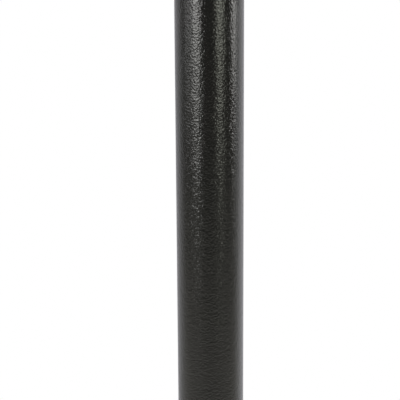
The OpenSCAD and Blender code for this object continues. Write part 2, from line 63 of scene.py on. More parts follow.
# %% [markdown]
# ## Where the pieces are
#
# A torch is built round one upright axis, so the box of a turned piece says nearly everything
# about it: half its width is its radius, and its Z values are its ends. One small helper reads
# those three numbers, and later cells build on them.

# %% Radius, bottom and top of a turned piece


def turned_size(node):
    """(radius, bottom, top) of a CAD node that is round about the torch's axis."""
    low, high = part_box(node)
    return (high.x - low.x) / 2, low.z, high.z


pole_r, middle_low, middle_high = turned_size("pole_middle")
_, spike_low, _ = turned_size("ground_spike")
print("pole radius", round(pole_r / MM, 2), "mm, spike's point at", round(spike_low, 3), "m")

# %% [markdown]
# ## The camera
#
# The camera stands close to the pole's middle section and a little above it, and looks down
# at 12 degrees. A long lens keeps the tube's sides nearly parallel. The pole sits slightly to
# the right of the frame's middle, and the camera is rolled by a third of a degree.

# %% Camera

LENS = 97.0
CAMERA_DISTANCE = 0.406
CAMERA_DROP = math.radians(12)
CAMERA_ROLL = math.radians(-0.345)
NEAREST_SEEN = 0.01
AIM_SHIFT = -3.75 * MM
aim = Vector((AIM_SHIFT, 0, (middle_low + middle_high) / 2))


def make_camera():
    """The scene's camera, on the -Y side of the pole."""
    data = bpy.data.cameras.new("camera")
    data.lens = LENS
    data.clip_start = NEAREST_SEEN
    camera = bpy.data.objects.new("camera", data)
    bpy.context.scene.collection.objects.link(camera)
    back = Vector((0, -math.cos(CAMERA_DROP), math.sin(CAMERA_DROP)))
    camera.location = aim + CAMERA_DISTANCE * back
    look = (-back).to_track_quat("-Z", "Y").to_matrix()
    camera.rotation_euler = (look @ Matrix.Rotation(CAMERA_ROLL, 3, "Z")).to_euler()
    bpy.context.scene.camera = camera
    return camera


camera = make_camera()
print("camera at", [round(x, 3) for x in camera.location])

# %% [markdown]
# ## The soft boxes
#
# A glossy black tube shows hardly any colour of its own: what one sees is the room, mirrored
# in it. So the room is built as a product studio is, with upright soft boxes round the pole.
# The angle of each one round the pole says where on the tube its highlight lies, and its
# width says how wide that is. The camera looks down, so the tube mirrors lower and lower
# parts of the boxes towards its bottom, and the highlights fade where the boxes end. That is
# why they end only a little below the height that the camera aims at.

# %% Soft boxes

STUDIO_RADIUS = 1.5
BOX_HEIGHT = 1.5
BOX_DROP = 60 * MM
box_low = aim.z - BOX_DROP


def soft_box(name, angle, half_angle, radiance, tint=(1, 1, 1)):
    """An upright area light at an angle round the pole: 0 is the camera's side, + is to +X."""
    data = bpy.data.lights.new(name, "AREA")
    data.shape = "RECTANGLE"
    data.size = 2 * STUDIO_RADIUS * math.tan(math.radians(half_angle))
    data.size_y = BOX_HEIGHT
    data.energy = radiance * math.pi * data.size * data.size_y
    data.color = tint
    box = bpy.data.objects.new(name, data)
    bpy.context.scene.collection.objects.link(box)
    turn = math.radians(angle)
    outward = Vector((math.sin(turn), -math.cos(turn), 0))
    box.location = STUDIO_RADIUS * outward + Vector((0, 0, box_low + BOX_HEIGHT / 2))
    box.rotation_euler = (-outward).to_track_quat("-Z", "Y").to_euler()
    box.visible_camera = False


soft_box("key_light", -45, 12, 8.0, (1, 1, 0.97))
soft_box("left_fill", -76, 11, 2.4)
soft_box("right_fill", 35, 9, 5.4, (0.97, 1, 0.86))
soft_box("rim_light", 88, 6, 9.4, (1, 0.99, 0.96))

# %% [markdown]
# ## A kit for node trees
#
# The room and the finishes are small trees of nodes. Grain is easiest to think of by its
# size, so the textures' helpers take millimetres and work out the scale.
#
# The one called feed saves most. It puts a number, a colour or another node's output into an
# input, whichever it is given, so the other helpers needn't ask.

# %% Helpers that join nodes


def link(tree, source, target):
    """Joins an output socket to an input socket."""
    tree.links.new(source, target)


def feed(tree, socket, value):
    """Sets an input from a number, a colour of three numbers, or another node's output."""
    if isinstance(value, bpy.types.NodeSocket):
        link(tree, value, socket)
    elif isinstance(value, tuple) and socket.type == "RGBA":
        socket.default_value = (*value, 1)
    else:
        socket.default_value = value


def math_node(tree, operation, *operands):
    """A Math node's output for one to three operands."""
    node = tree.nodes.new("ShaderNodeMath")
    node.operation = operation
    for socket, value in zip(node.inputs, operands):
        feed(tree, socket, value)
    return node.outputs[0]


print("node helpers: link, feed, math_node")

# %% Helpers for spans, colours and places


def mapped(tree, value, span, result=(0, 1)):
    """value carried from its span (low, high) to the result's (low, high), and held there."""
    node = tree.nodes.new("ShaderNodeMapRange")
    for socket, number in zip(node.inputs, (value, *span, *result)):
        feed(tree, socket, number)
    return node.outputs["Result"]


def ramp(tree, factor, stops):
    """A Color Ramp's output. stops are pairs of a position and a grey or a colour."""
    node = tree.nodes.new("ShaderNodeValToRGB")
    elements = node.color_ramp.elements
    while len(elements) < len(stops):
        elements.new(1)
    for element, (position, colour) in zip(elements, stops):
        element.position = position
        element.color = (*colour, 1) if isinstance(colour, tuple) else (colour, colour, colour, 1)
    link(tree, factor, node.inputs["Fac"])
    return node.outputs["Color"]


def mix(tree, factor, first, second, blend="MIX"):
    """A Mix node's colour: first where the factor is 0, and second where it is 1."""
    node = tree.nodes.new("ShaderNodeMix")
    node.data_type = "RGBA"
    node.blend_type = blend
    colours = [socket for socket in node.inputs if socket.type == "RGBA"]
    feed(tree, node.inputs[0], factor)
    feed(tree, colours[0], first)
    feed(tree, colours[1], second)
    return next(socket for socket in node.outputs if socket.type == "RGBA")


def axis_parts(tree, place):
    """A place's X, Y and Z, and how far it is from the Z axis."""
    split = tree.nodes.new("ShaderNodeSeparateXYZ")
    link(tree, place, split.inputs[0])
    x, y, z = split.outputs
    squares = math_node(tree, "MULTIPLY_ADD", x, x, math_node(tree, "MULTIPLY", y, y))
    return x, y, z, math_node(tree, "SQRT", squares)


print("node helpers: mapped, ramp, mix, axis_parts")

# %% [markdown]
# ## Grain that follows the way a piece was made
#
# Most marks on metal run one way. Drawing leaves lines along a bar, and a lathe leaves lines
# round it. A texture can be made to run so by changing the place that it is read at: squeeze
# one axis, and the grains grow long that way, or swap X and Y for the distance from the axis,
# and they run round the piece. That is simpler than unwrapping each piece and needs no picture.

# %% Places that make grain run one way

TURN_DRIFT = 0.02


def stretched(tree, place, scale):
    """The place, with each axis multiplied by its own number."""
    node = tree.nodes.new("ShaderNodeVectorMath")
    node.operation = "MULTIPLY"
    link(tree, place, node.inputs[0])
    node.inputs[1].default_value = scale
    return node.outputs[0]


def turned(tree, place):
    """A place that hardly changes round the axis, for marks that run round a turned piece."""
    x, y, z, radius = axis_parts(tree, place)
    node = tree.nodes.new("ShaderNodeCombineXYZ")
    feed(tree, node.inputs["X"], math_node(tree, "MULTIPLY_ADD", x, TURN_DRIFT, radius))
    feed(tree, node.inputs["Y"], math_node(tree, "MULTIPLY", y, TURN_DRIFT))
    feed(tree, node.inputs["Z"], z)
    return node.outputs[0]


print("place helpers: stretched, turned")

# %% [markdown]
# ## Textures and bumps
#
# A texture's scale says how many grains go into a metre, so it is one over the size of a grain
# in metres. A Bump node tilts the light on a surface and leaves the surface as it is, which is
# right for marks that are far smaller than the piece. A Bevel node does the same for its sharp
# edges: real edges are never quite sharp, and a thin highlight along them shows it.

# %% Textures


def noise(tree, place, size_mm, detail=2.0, roughness=0.5):
    """A Noise texture's grey, with grains of about that size."""
    node = tree.nodes.new("ShaderNodeTexNoise")
    feed(tree, node.inputs["Vector"], place)
    feed(tree, node.inputs["Scale"], 1 / (size_mm * MM))
    feed(tree, node.inputs["Detail"], detail)
    feed(tree, node.inputs["Roughness"], roughness)
    return node.outputs["Fac"]


def cells(tree, place, size_mm, output="Distance"):
    """A Voronoi texture's output, with cells of about that size."""
    node = tree.nodes.new("ShaderNodeTexVoronoi")
    feed(tree, node.inputs["Vector"], place)
    feed(tree, node.inputs["Scale"], 1 / (size_mm * MM))
    return node.outputs[output]


print("texture helpers: noise, cells")

# %% Bumps and soft edges

EDGE_SAMPLES = 6


def bump(tree, height, depth_mm, below=None):
    """A normal for a height from 0 to 1 that stands for so many millimetres."""
    node = tree.nodes.new("ShaderNodeBump")
    feed(tree, node.inputs["Distance"], depth_mm * MM)
    feed(tree, node.inputs["Height"], height)
    if below is not None:
        feed(tree, node.inputs["Normal"], below)
    return node.outputs["Normal"]


def soft_edges(tree, radius_mm):
    """A normal that rounds the piece's sharp edges over a radius."""
    node = tree.nodes.new("ShaderNodeBevel")
    node.samples = EDGE_SAMPLES
    feed(tree, node.inputs["Radius"], radius_mm * MM)
    return node.outputs["Normal"]


print("bump helpers: bump, soft_edges with", EDGE_SAMPLES, "samples")

# %% [markdown]
# ## Starting a finish
#
# Each finish is one material, named after the slot of the CAD record that it belongs to. All
# of them begin in the same way, with one shader and the place of a point on the piece. Object
# coordinates are in metres here and move with the piece, so its grain never slides over it.

# %% Starting a finish

finishes = {}


def start_finish(slot, colour, roughness, metallic=0.0):
    """Begins the finish of a material slot: (its tree, its shader, a point's place in metres)."""
    material = bpy.data.materials.new(slot + "_finish")
    finishes[slot] = material
    material.use_nodes = True
    tree = material.node_tree
    shader = tree.nodes["Principled BSDF"]
    feed(tree, shader.inputs["Base Color"], colour)
    feed(tree, shader.inputs["Roughness"], roughness)
    feed(tree, shader.inputs["Metallic"], metallic)
    return tree, shader, tree.nodes.new("ShaderNodeTexCoord").outputs["Object"]


slots = sorted({node.data.materials[0].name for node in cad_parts.values()})
print("finishes to make:", slots)

# %% [markdown]
# ## The room behind the soft boxes
#
# The backdrop is white, and a little brighter on its right than on its left. The camera's
# side of the room is darker, because nothing is lit there, and the pale floor brightens it
# from below, slightly higher at the sides than in the middle. A panorama picture is the usual
# way to give a room to mirror, but two colour ramps over the ray's direction are enough here.
# The Light Path node keeps the backdrop plain white for the camera from every side.

# %% World

# the backdrop, from half behind the torch to straight behind it
BACKDROP_TONES = [(0.45, (1.0, 1.0, 1.0)), (0.95, (0.68, 0.67, 0.71))]
LEFT_TO_RIGHT = (0.84, 1.34)
# the camera's side, from the floor up to level with the camera
FRONT_TONES = [
    (0.28, (1.0, 0.98, 0.9)), (0.31, (0.84, 0.82, 0.74)), (0.35, (0.42, 0.41, 0.37)),
    (0.4, (0.09, 0.09, 0.079)), (0.45, (0.065, 0.065, 0.058)), (0.5, (0.13, 0.13, 0.12)),
]
RISE_AT_SIDES = 0.022


def make_world():
    """A white backdrop, and for reflections a room that is darker on the camera's side."""
    world = bpy.data.worlds.new("studio")
    world.use_nodes = True
    bpy.context.scene.world = world
    tree = world.node_tree
    place = tree.nodes.new("ShaderNodeTexCoord").outputs["Generated"]
    x, y, z, _ = axis_parts(tree, place)
    behind = mapped(tree, y, (0.0, 0.5))
    slope = mapped(tree, x, (-1, 1), LEFT_TO_RIGHT)
    backdrop = mix(tree, 1.0, ramp(tree, y, BACKDROP_TONES), slope, "MULTIPLY")
    sides = math_node(tree, "MULTIPLY", math_node(tree, "ABSOLUTE", x), -RISE_AT_SIDES)
    height = math_node(tree, "ADD", mapped(tree, z, (-1, 1)), sides)
    room = mix(tree, behind, ramp(tree, height, FRONT_TONES), backdrop)
    path = tree.nodes.new("ShaderNodeLightPath")
    seen = mix(tree, path.outputs["Is Camera Ray"], room, (1.0, 1.0, 1.0))
    link(tree, seen, tree.nodes["Background"].inputs["Color"])
    return tree


room_tree = make_world()
bpy.context.scene.view_settings.view_transform = "Standard"
print("room:", len(room_tree.nodes), "nodes")

# %% [markdown]
# ## The floor
#
# A round pale floor lies just under the spike's point. A studio would have a paper sheet that
# curves up behind the torch, but that would block the view from the back. So the floor is a
# flat disc, and towards its rim it turns clear, to leave no edge against the white backdrop.

# %% Floor

FLOOR_RADIUS = 2.4
FLOOR_GAP = 2 * MM
FADE_START = 0.2 * FLOOR_RADIUS
FADE_END = 0.7 * FLOOR_RADIUS


def make_floor():
    """A round pale floor just under the spike's point, clear towards its rim."""
    mesh = bpy.data.meshes.new("floor")
    shape = bmesh.new()
    bmesh.ops.create_circle(shape, cap_ends=True, segments=128, radius=FLOOR_RADIUS)
    shape.to_mesh(mesh)
    shape.free()
    floor = bpy.data.objects.new("floor", mesh)
    floor.location.z = spike_low - FLOOR_GAP
    bpy.context.scene.collection.objects.link(floor)
    material = bpy.data.materials.new("pale_floor")
    material.use_nodes = True
    tree = material.node_tree
    shader = tree.nodes["Principled BSDF"]
    feed(tree, shader.inputs["Base Color"], (0.82, 0.82, 0.81))
    feed(tree, shader.inputs["Roughness"], 0.6)
    _, _, _, radius = axis_parts(tree, tree.nodes.new("ShaderNodeTexCoord").outputs["Object"])
    clear = tree.nodes.new("ShaderNodeBsdfTransparent")
    mixer = tree.nodes.new("ShaderNodeMixShader")
    feed(tree, mixer.inputs[0], mapped(tree, radius, (FADE_START, FADE_END)))
    link(tree, shader.outputs[0], mixer.inputs[1])
    link(tree, clear.outputs[0], mixer.inputs[2])
    link(tree, mixer.outputs[0], tree.nodes["Material Output"].inputs["Surface"])
    mesh.materials.append(material)
    return floor


floor = make_floor()
print("floor at", round(floor.location.z, 3), "m")

# %% [markdown]
# ## Black textured powder coat
#
# Fine-texture powder cures into tiny rounded grains, less than a millimetre across and a few
# hundredths high, under a glossy skin. Each grain tilts the mirrored room a little, so a
# highlight breaks up into sparkles. The grains could be real displaced geometry, but on
# pieces this long that takes millions of faces. Bump from two sizes of noise gives the same
# look, and a Bevel node rounds the sharp edges as thick paint does. The cup is spun on a lathe
# over a form, so it has its own version of the coat, with rounder edges.

# %% Powder coat

GRAIN_MM = 0.75
GRAIN_DEPTH_MM = 0.16
COAT_SHEEN = (0.14, 0.2)
PAINTED_EDGE_MM = 0.35
SPUN_EDGE_MM = 2.5


def make_powder_coat(name, edge_mm):
    """Semi-gloss black powder coat with a fine grain, over edges that are round by edge_mm."""
    tree, shader, place = start_finish(name, (0.005, 0.005, 0.0048), 0.23)
    grain = noise(tree, place, GRAIN_MM, detail=1.5, roughness=0.6)
    tone = ramp(tree, grain, [(0.35, (0.0034, 0.0034, 0.0032)), (0.7, (0.0068, 0.0066, 0.006))])
    feed(tree, shader.inputs["Base Color"], tone)
    cloud = noise(tree, place, 30, detail=3)
    feed(tree, shader.inputs["Roughness"], mapped(tree, cloud, (0.3, 0.7), COAT_SHEEN))
    waves = bump(tree, noise(tree, place, 2.8, detail=1), 0.06, soft_edges(tree, edge_mm))
    feed(tree, shader.inputs["Normal"], bump(tree, grain, GRAIN_DEPTH_MM, waves))


make_powder_coat("powder_coat", PAINTED_EDGE_MM)
make_powder_coat("cup_coat", SPUN_EDGE_MM)
print("powder coat: grains of", GRAIN_MM, "mm")

# %% [markdown]
# ## Zinc on the spike and the joint sleeves
#
# The spike is drawn bar with bright zinc plate. It keeps fine lines along its length, and its
# point is dulled and stained where it goes into the ground. The sleeves are cut from
# galvanised tube, whose hot-dipped zinc freezes into flat crystals of slightly different
# greys. A Voronoi texture's cells are just such crystals.

# %% Bright zinc

STAIN_HEIGHT = 80 * MM
STAIN_REACH = 0.45


def make_spike_zinc():
    """Bright zinc plate on drawn bar, dulled towards the point."""
    tree, shader, place = start_finish("spike_zinc", (0.52, 0.53, 0.54), 0.3, metallic=1.0)
    lines = noise(tree, stretched(tree, place, (1, 1, 0.03)), 0.35, detail=4)
    cloud = noise(tree, place, 14, detail=3)
    plate = ramp(tree, cloud, [(0.3, (0.45, 0.47, 0.5)), (0.5, (0.56, 0.56, 0.55)),
                               (0.7, (0.5, 0.52, 0.57))])
    _, _, z, _ = axis_parts(tree, place)
    near_point = mapped(tree, z, (spike_low + STAIN_HEIGHT, spike_low))
    patches = noise(tree, stretched(tree, place, (1, 1, 0.4)), 3, detail=6, roughness=0.65)
    soiled = math_node(tree, "MULTIPLY_ADD", near_point, STAIN_REACH, patches)
    stain = mapped(tree, soiled, (0.62, 0.8))
    feed(tree, shader.inputs["Base Color"], mix(tree, stain, plate, (0.17, 0.135, 0.1)))
    gloss = mapped(tree, lines, (0.3, 0.7), (0.22, 0.38))
    feed(tree, shader.inputs["Roughness"], math_node(tree, "MULTIPLY_ADD", stain, 0.35, gloss))
    marks = bump(tree, lines, 0.02, soft_edges(tree, 0.3))
    feed(tree, shader.inputs["Normal"], bump(tree, patches, 0.03, marks))


make_spike_zinc()
print("stain starts", round(STAIN_HEIGHT / MM), "mm above the point")

# %% Galvanised sleeve


CRYSTAL_MM = 9


def make_sleeve_zinc():
    """Hot-dipped zinc with its crystals, on the sleeves inside the pole's joints."""
    tree, shader, place = start_finish("sleeve_zinc", (0.56, 0.57, 0.58), 0.38, metallic=1.0)
    cell_colour = cells(tree, place, CRYSTAL_MM, output="Color")
    crystal = math_node(tree, "FRACT", math_node(tree, "MULTIPLY", cell_colour, 3.7))
    tone = ramp(tree, crystal, [(0.0, (0.46, 0.47, 0.49)), (0.6, (0.58, 0.59, 0.6)),
                                (1.0, (0.66, 0.67, 0.67))])
    rubbed = noise(tree, stretched(tree, place, (1, 1, 0.05)), 0.6, detail=3)
    feed(tree, shader.inputs["Base Color"], mix(tree, 0.25, tone, rubbed, "SOFT_LIGHT"))
    feed(tree, shader.inputs["Roughness"], mapped(tree, crystal, (0, 1), (0.28, 0.46)))
    feed(tree, shader.inputs["Normal"], bump(tree, rubbed, 0.015, soft_edges(tree, 0.25)))


make_sleeve_zinc()
print("zinc crystals of about", CRYSTAL_MM, "mm")

# %% [markdown]
# ## Nylon plug, rivets and thumb screw
#
# Three small black finishes that would look alike if they were one flat black. Moulded nylon
# is slightly grey with a spark-eroded grain. The pop rivets are sprayed over, and the paint
# has chipped to bare aluminium in a few spots. The thumb screw is black oxide on steel: a
# thin, oily, slightly brown film that is blotchy from the bath.

# %% Three small black finishes


def make_plug_nylon():
    """Moulded black nylon with a fine grain."""
    tree, shader, place = start_finish("plug_nylon", (0.03, 0.03, 0.03), 0.55)
    grain = noise(tree, place, 0.4, detail=2)
    flow = noise(tree, stretched(tree, place, (1, 1, 0.3)), 9, detail=3)
    feed(tree, shader.inputs["Base Color"], ramp(tree, flow, [(0.3, 0.024), (0.7, 0.04)]))
    feed(tree, shader.inputs["Roughness"], mapped(tree, grain, (0.3, 0.7), (0.45, 0.62)))
    feed(tree, shader.inputs["Normal"], bump(tree, grain, 0.03, soft_edges(tree, 0.3)))


def make_rivet_black():
    """Sprayed pop rivets with a few chips in the paint."""
    tree, shader, place = start_finish("rivet_black", (0.02, 0.02, 0.02), 0.35)
    spray = noise(tree, place, 0.5, detail=2)
    chips = mapped(tree, noise(tree, place, 1.3, detail=4, roughness=0.6), (0.64, 0.67))
    paint = ramp(tree, spray, [(0.3, 0.013), (0.7, 0.026)])
    feed(tree, shader.inputs["Base Color"], mix(tree, chips, paint, (0.62, 0.62, 0.63)))
    feed(tree, shader.inputs["Metallic"], chips)
    feed(tree, shader.inputs["Roughness"], mapped(tree, spray, (0.3, 0.7), (0.28, 0.42)))
    height = math_node(tree, "MULTIPLY_ADD", chips, -1.0, spray)
    feed(tree, shader.inputs["Normal"], bump(tree, height, 0.03, soft_edges(tree, 0.2)))


def make_screw_black():
    """Black oxide on the steel thumb screw."""
    tree, shader, place = start_finish("screw_black", (0.03, 0.03, 0.03), 0.36, metallic=0.6)
    blotch = noise(tree, place, 3.5, detail=5, roughness=0.6)
    fine = noise(tree, place, 0.3, detail=2)
    feed(tree, shader.inputs["Base Color"], ramp(tree, blotch, [
        (0.3, (0.022, 0.022, 0.025)), (0.55, (0.034, 0.032, 0.031)), (0.75, (0.06, 0.052, 0.045))]))
    feed(tree, shader.inputs["Roughness"], mapped(tree, blotch, (0.3, 0.7), (0.28, 0.46)))
    feed(tree, shader.inputs["Normal"], bump(tree, fine, 0.012, soft_edges(tree, 0.3)))


make_plug_nylon()
make_rivet_black()
make_screw_black()
print("finishes so far:", sorted(finishes))

# %% [markdown]
# ## Spun steel can
#
# The can is stainless sheet, polished on the lathe, so its fine lines run round it. An
# anisotropic shader stretches highlights in the same way, but real lines also vary the
# gloss, so here the lines are noise that hardly changes round the axis. Larger clouds of
# noise are the smudges of hands and fuel.

# %% Can steel

LATHE_LINE_MM = 0.3


def make_can_steel():
    """Stainless steel with lines from the lathe and a few smudges."""
    tree, shader, place = start_finish("can_steel", (0.6, 0.6, 0.59), 0.25, metallic=1.0)
    lines = noise(tree, turned(tree, place), LATHE_LINE_MM, detail=5, roughness=0.65)
    smudge = mapped(tree, noise(tree, place, 22, detail=5, roughness=0.6), (0.5, 0.68))
    steel = ramp(tree, lines, [(0.3, (0.5, 0.5, 0.5)), (0.7, (0.66, 0.66, 0.64))])
    dirt = math_node(tree, "MULTIPLY", smudge, 0.35)
    feed(tree, shader.inputs["Base Color"], mix(tree, dirt, steel, (0.4, 0.38, 0.34)))
    gloss = mapped(tree, lines, (0.3, 0.7), (0.17, 0.33))
    feed(tree, shader.inputs["Roughness"], math_node(tree, "MULTIPLY_ADD", smudge, 0.15, gloss))
    feed(tree, shader.inputs["Normal"], bump(tree, lines, 0.012, soft_edges(tree, 0.3)))


make_can_steel()
print("can steel: lathe lines of", LATHE_LINE_MM, "mm")

# %% [markdown]
# ## Brass of the burner
#
# The cap, the tube, the nut and the collar are turned brass that has aged for a season:
# golden where hands rub it, and browner in clouds elsewhere, with turning lines and small
# dark specks. The inside of the cap has a thread. It is shown with a bump that winds round
# the bore, which works because nobody sees its outline there.

# %% Brass

THREAD_PITCH = 3 * MM
THREAD_DEPTH = 0.8 * MM
COLLAR_CREST_R = 27 * MM
BORE_REACH = (0.5 * MM, 0.3 * MM)


def winding(tree, place, pitch):
    """0 to 1 and back along a helix round the axis, once for each pitch."""
    x, y, z, _ = axis_parts(tree, place)
    turn = math_node(tree, "MULTIPLY", math_node(tree, "ARCTAN2", y, x), -1.0)
    phase = math_node(tree, "MULTIPLY_ADD", z, math.tau / pitch, turn)
    return math_node(tree, "MULTIPLY_ADD", math_node(tree, "SINE", phase), 0.5, 0.5)


def make_brass(name, threaded):
    """Aged brass. A threaded piece also has a winding bump on its bore."""
    tree, shader, place = start_finish(name, (0.74, 0.53, 0.24), 0.3, metallic=1.0)
    lines = noise(tree, turned(tree, place), 0.25, detail=4, roughness=0.6)
    cloud = noise(tree, place, 9, detail=5, roughness=0.6)
    tone = ramp(tree, cloud, [(0.32, (0.8, 0.58, 0.27)), (0.52, (0.7, 0.49, 0.21)),
                              (0.72, (0.46, 0.29, 0.12))])
    specks = math_node(tree, "MULTIPLY", mapped(tree, cells(tree, place, 2.2), (0.16, 0.1)), 0.6)
    feed(tree, shader.inputs["Base Color"], mix(tree, specks, tone, (0.2, 0.11, 0.05)))
    gloss = mapped(tree, lines, (0.3, 0.7), (0.2, 0.34))
    dull = mapped(tree, cloud, (0.4, 0.75), (0, 0.16))
    feed(tree, shader.inputs["Roughness"], math_node(tree, "ADD", gloss, dull))
    normal = bump(tree, lines, 0.012, soft_edges(tree, 0.25))
    if threaded:
        _, _, _, radius = axis_parts(tree, place)
        off_bore = math_node(tree, "ABSOLUTE", math_node(tree, "SUBTRACT", radius, COLLAR_CREST_R))
        in_bore = mapped(tree, off_bore, BORE_REACH)
        thread = math_node(tree, "MULTIPLY", in_bore, winding(tree, place, THREAD_PITCH))
        normal = bump(tree, thread, THREAD_DEPTH / MM, normal)
    feed(tree, shader.inputs["Normal"], normal)


make_brass("burner_brass", threaded=False)
make_brass("cap_brass", threaded=True)
print("thread pitch", round(THREAD_PITCH / MM, 1), "mm")

# %% [markdown]
# ## Gasket, knob and snuffer
#
# The gasket is matt rubber with a bloom of pale specks. The knob is polished phenolic resin,
# black with a faint marbling under its gloss. The snuffer is satin steel, and its rim has
# been in the flame, so it carries the straw, purple and blue bands of heated steel.

# %% Rubber and phenolic


def make_gasket_rubber():
    """Matt rubber with a faint bloom."""
    tree, shader, place = start_finish("gasket_rubber", (0.03, 0.03, 0.03), 0.8)
    grain = noise(tree, place, 0.5, detail=4, roughness=0.65)
    tone = ramp(tree, grain, [(0.35, 0.022), (0.6, 0.032), (0.72, 0.075)])
    feed(tree, shader.inputs["Base Color"], tone)
    feed(tree, shader.inputs["Roughness"], mapped(tree, grain, (0.3, 0.7), (0.7, 0.88)))
    feed(tree, shader.inputs["Normal"], bump(tree, grain, 0.04, soft_edges(tree, 0.25)))


def make_knob_phenolic():
    """Polished black phenolic resin."""
    tree, shader, place = start_finish("knob_phenolic", (0.02, 0.02, 0.02), 0.14)
    marble = noise(tree, place, 4.5, detail=6, roughness=0.6)
    tone = ramp(tree, marble, [(0.35, (0.012, 0.012, 0.012)), (0.6, (0.02, 0.019, 0.018)),
                               (0.7, (0.034, 0.026, 0.02))])
    feed(tree, shader.inputs["Base Color"], tone)
    feed(tree, shader.inputs["Roughness"], mapped(tree, marble, (0.3, 0.7), (0.1, 0.2)))
    feed(tree, shader.inputs["Coat Weight"], 0.4)
    feed(tree, shader.inputs["Coat Roughness"], 0.06)
    scratches = noise(tree, turned(tree, place), 0.2, detail=2)
    feed(tree, shader.inputs["Normal"], bump(tree, scratches, 0.004, soft_edges(tree, 0.4)))


make_gasket_rubber()
make_knob_phenolic()
print("finishes so far:", len(finishes))

# %% Snuffer steel

HEAT_HEIGHT = 16 * MM
HEAT_COLOURS = [
    (0.0, (0.2, 0.19, 0.19)), (0.14, (0.25, 0.28, 0.36)), (0.28, (0.37, 0.29, 0.36)),
    (0.42, (0.5, 0.41, 0.3)), (0.6, (0.58, 0.54, 0.46)), (0.85, (0.58, 0.58, 0.57)),
]
_, bell_low, _ = turned_size("snuffer_bell")


def make_snuffer_steel(name, heated):
    """Satin steel. A heated piece has the bands of heat at the bell's rim."""
    tree, shader, place = start_finish(name, (0.58, 0.58, 0.57), 0.3, metallic=1.0)
    lines = noise(tree, turned(tree, place), 0.25, detail=4, roughness=0.6)
    tint = ramp(tree, noise(tree, place, 6, detail=4), [(0.35, (0.6, 0.6, 0.59)),
                                                        (0.7, (0.5, 0.5, 0.49))])
    if heated:
        _, _, z, _ = axis_parts(tree, place)
        height = mapped(tree, z, (bell_low, bell_low + HEAT_HEIGHT))
        uneven = math_node(tree, "SUBTRACT", noise(tree, place, 7, detail=3), 0.5)
        heat = math_node(tree, "MULTIPLY_ADD", uneven, 0.4, height)
        tint = ramp(tree, heat, HEAT_COLOURS)
    feed(tree, shader.inputs["Base Color"], mix(tree, 0.3, tint, lines, "SOFT_LIGHT"))
    feed(tree, shader.inputs["Roughness"], mapped(tree, lines, (0.3, 0.7), (0.22, 0.38)))
    feed(tree, shader.inputs["Normal"], bump(tree, lines, 0.012, soft_edges(tree, 0.25)))


make_snuffer_steel("snuffer_steel", heated=False)
make_snuffer_steel("bell_steel", heated=True)
print("heat bands on the lowest", round(HEAT_HEIGHT / MM), "mm of the bell")

# %% [markdown]
# ## Wick fibre
#
# Glass-fibre yarn is creamy white and faintly glossy. Fuel leaves it yellower, and the flame
# chars the top: brown first, then black. The char follows the height in the wick's own frame,
# so it stays on the wick when the wick is raised.

# %% Fibre

CHAR_HEIGHT = 13 * MM
RAGGED_HEIGHT = 9 * MM
wick_r, wick_low, wick_high = turned_size("wick")


def make_wick_fibre():
    """Glass-fibre yarn, charred towards the top."""
    tree, shader, place = start_finish("wick_fibre", (0.82, 0.8, 0.73), 0.7)
    fibres = noise(tree, stretched(tree, place, (1, 1, 0.35)), 0.16, detail=3)
    cloud = noise(tree, place, 5, detail=3)
    soaked = ramp(tree, cloud, [(0.3, (0.8, 0.77, 0.68)), (0.7, (0.7, 0.64, 0.5))])
    clean = mix(tree, 0.6, soaked, fibres, "SOFT_LIGHT")
    _, _, z, _ = axis_parts(tree, place)
    ragged = math_node(tree, "MULTIPLY_ADD", cloud, RAGGED_HEIGHT, -RAGGED_HEIGHT / 2)
    height = math_node(tree, "ADD", z, ragged)
    burnt = mapped(tree, height, (wick_high - CHAR_HEIGHT, wick_high))
    char = ramp(tree, burnt, [(0.0, 0.0), (0.3, 0.35), (0.62, 0.93), (1.0, 1.0)])
    scorch = ramp(tree, burnt, [(0.1, (0.3, 0.19, 0.09)), (0.6, (0.035, 0.03, 0.028)),
                                (1.0, (0.018, 0.018, 0.018))])
    feed(tree, shader.inputs["Base Color"], mix(tree, char, clean, scorch))
    feed(tree, shader.inputs["Sheen Weight"], 0.3)
    feed(tree, shader.inputs["Normal"], bump(tree, fibres, 0.06))


make_wick_fibre()
print("wick from", round(wick_low, 4), "to", round(wick_high, 4), "m")

# %% [markdown]
# ## Giving the CAD nodes their finishes
#
# Each CAD node arrives with a plain material that is named after its slot in the record. So
# one loop can swap every plain material for the finish of the same name. Three nodes have
# their own variant: the cup, for its rounder edges, the cap, for the thread in its bore, and
# the bell, for the heat at its rim.

# %% Dress the CAD nodes

variants = {"cup": "cup_coat", "burner_cap": "cap_brass", "snuffer_bell": "bell_steel"}

for name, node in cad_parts.items():
    slot = node.data.materials[0].name
    node.data.materials[0] = finishes[variants.get(name, slot)]

print("dressed", len(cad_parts), "nodes")

# %% [markdown]
# ## A loft for new pieces
#
# A yarn, a weld bead and a threaded collar have one thing in common: each is a row of rings
# of points with a skin over it. Curve objects with a bevel could make the yarns, but not the
# thread, so one loft in mesh code serves them all.

# %% Loft and piece helpers


def add_loft(shape, rings, closed=False):
    """Skins a row of equal rings in a bmesh. An open row gets a cap at each end."""
    loops = [[shape.verts.new(point) for point in ring] for ring in rings]
    pairs = list(zip(loops, loops[1:] + loops[:1]))
    if not closed:
        pairs.pop()
        shape.faces.new(reversed(loops[0]))
        shape.faces.new(loops[-1])
    count = len(loops[0])
    for lower, upper in pairs:
        for i in range(count):
            j = (i + 1) % count
            shape.faces.new((lower[i], lower[j], upper[j], upper[i]))


def oval_ring(centre, side, up, count):
    """Points round an oval whose half axes are the vectors side and up."""
    turns = (math.tau * i / count for i in range(count))
    return [centre + math.cos(turn) * side + math.sin(turn) * up for turn in turns]


def flat_ring(radius, z, count):
    """Points round a level circle about the torch's axis."""
    return oval_ring(Vector((0, 0, z)), Vector((radius, 0, 0)), Vector((0, radius, 0)), count)


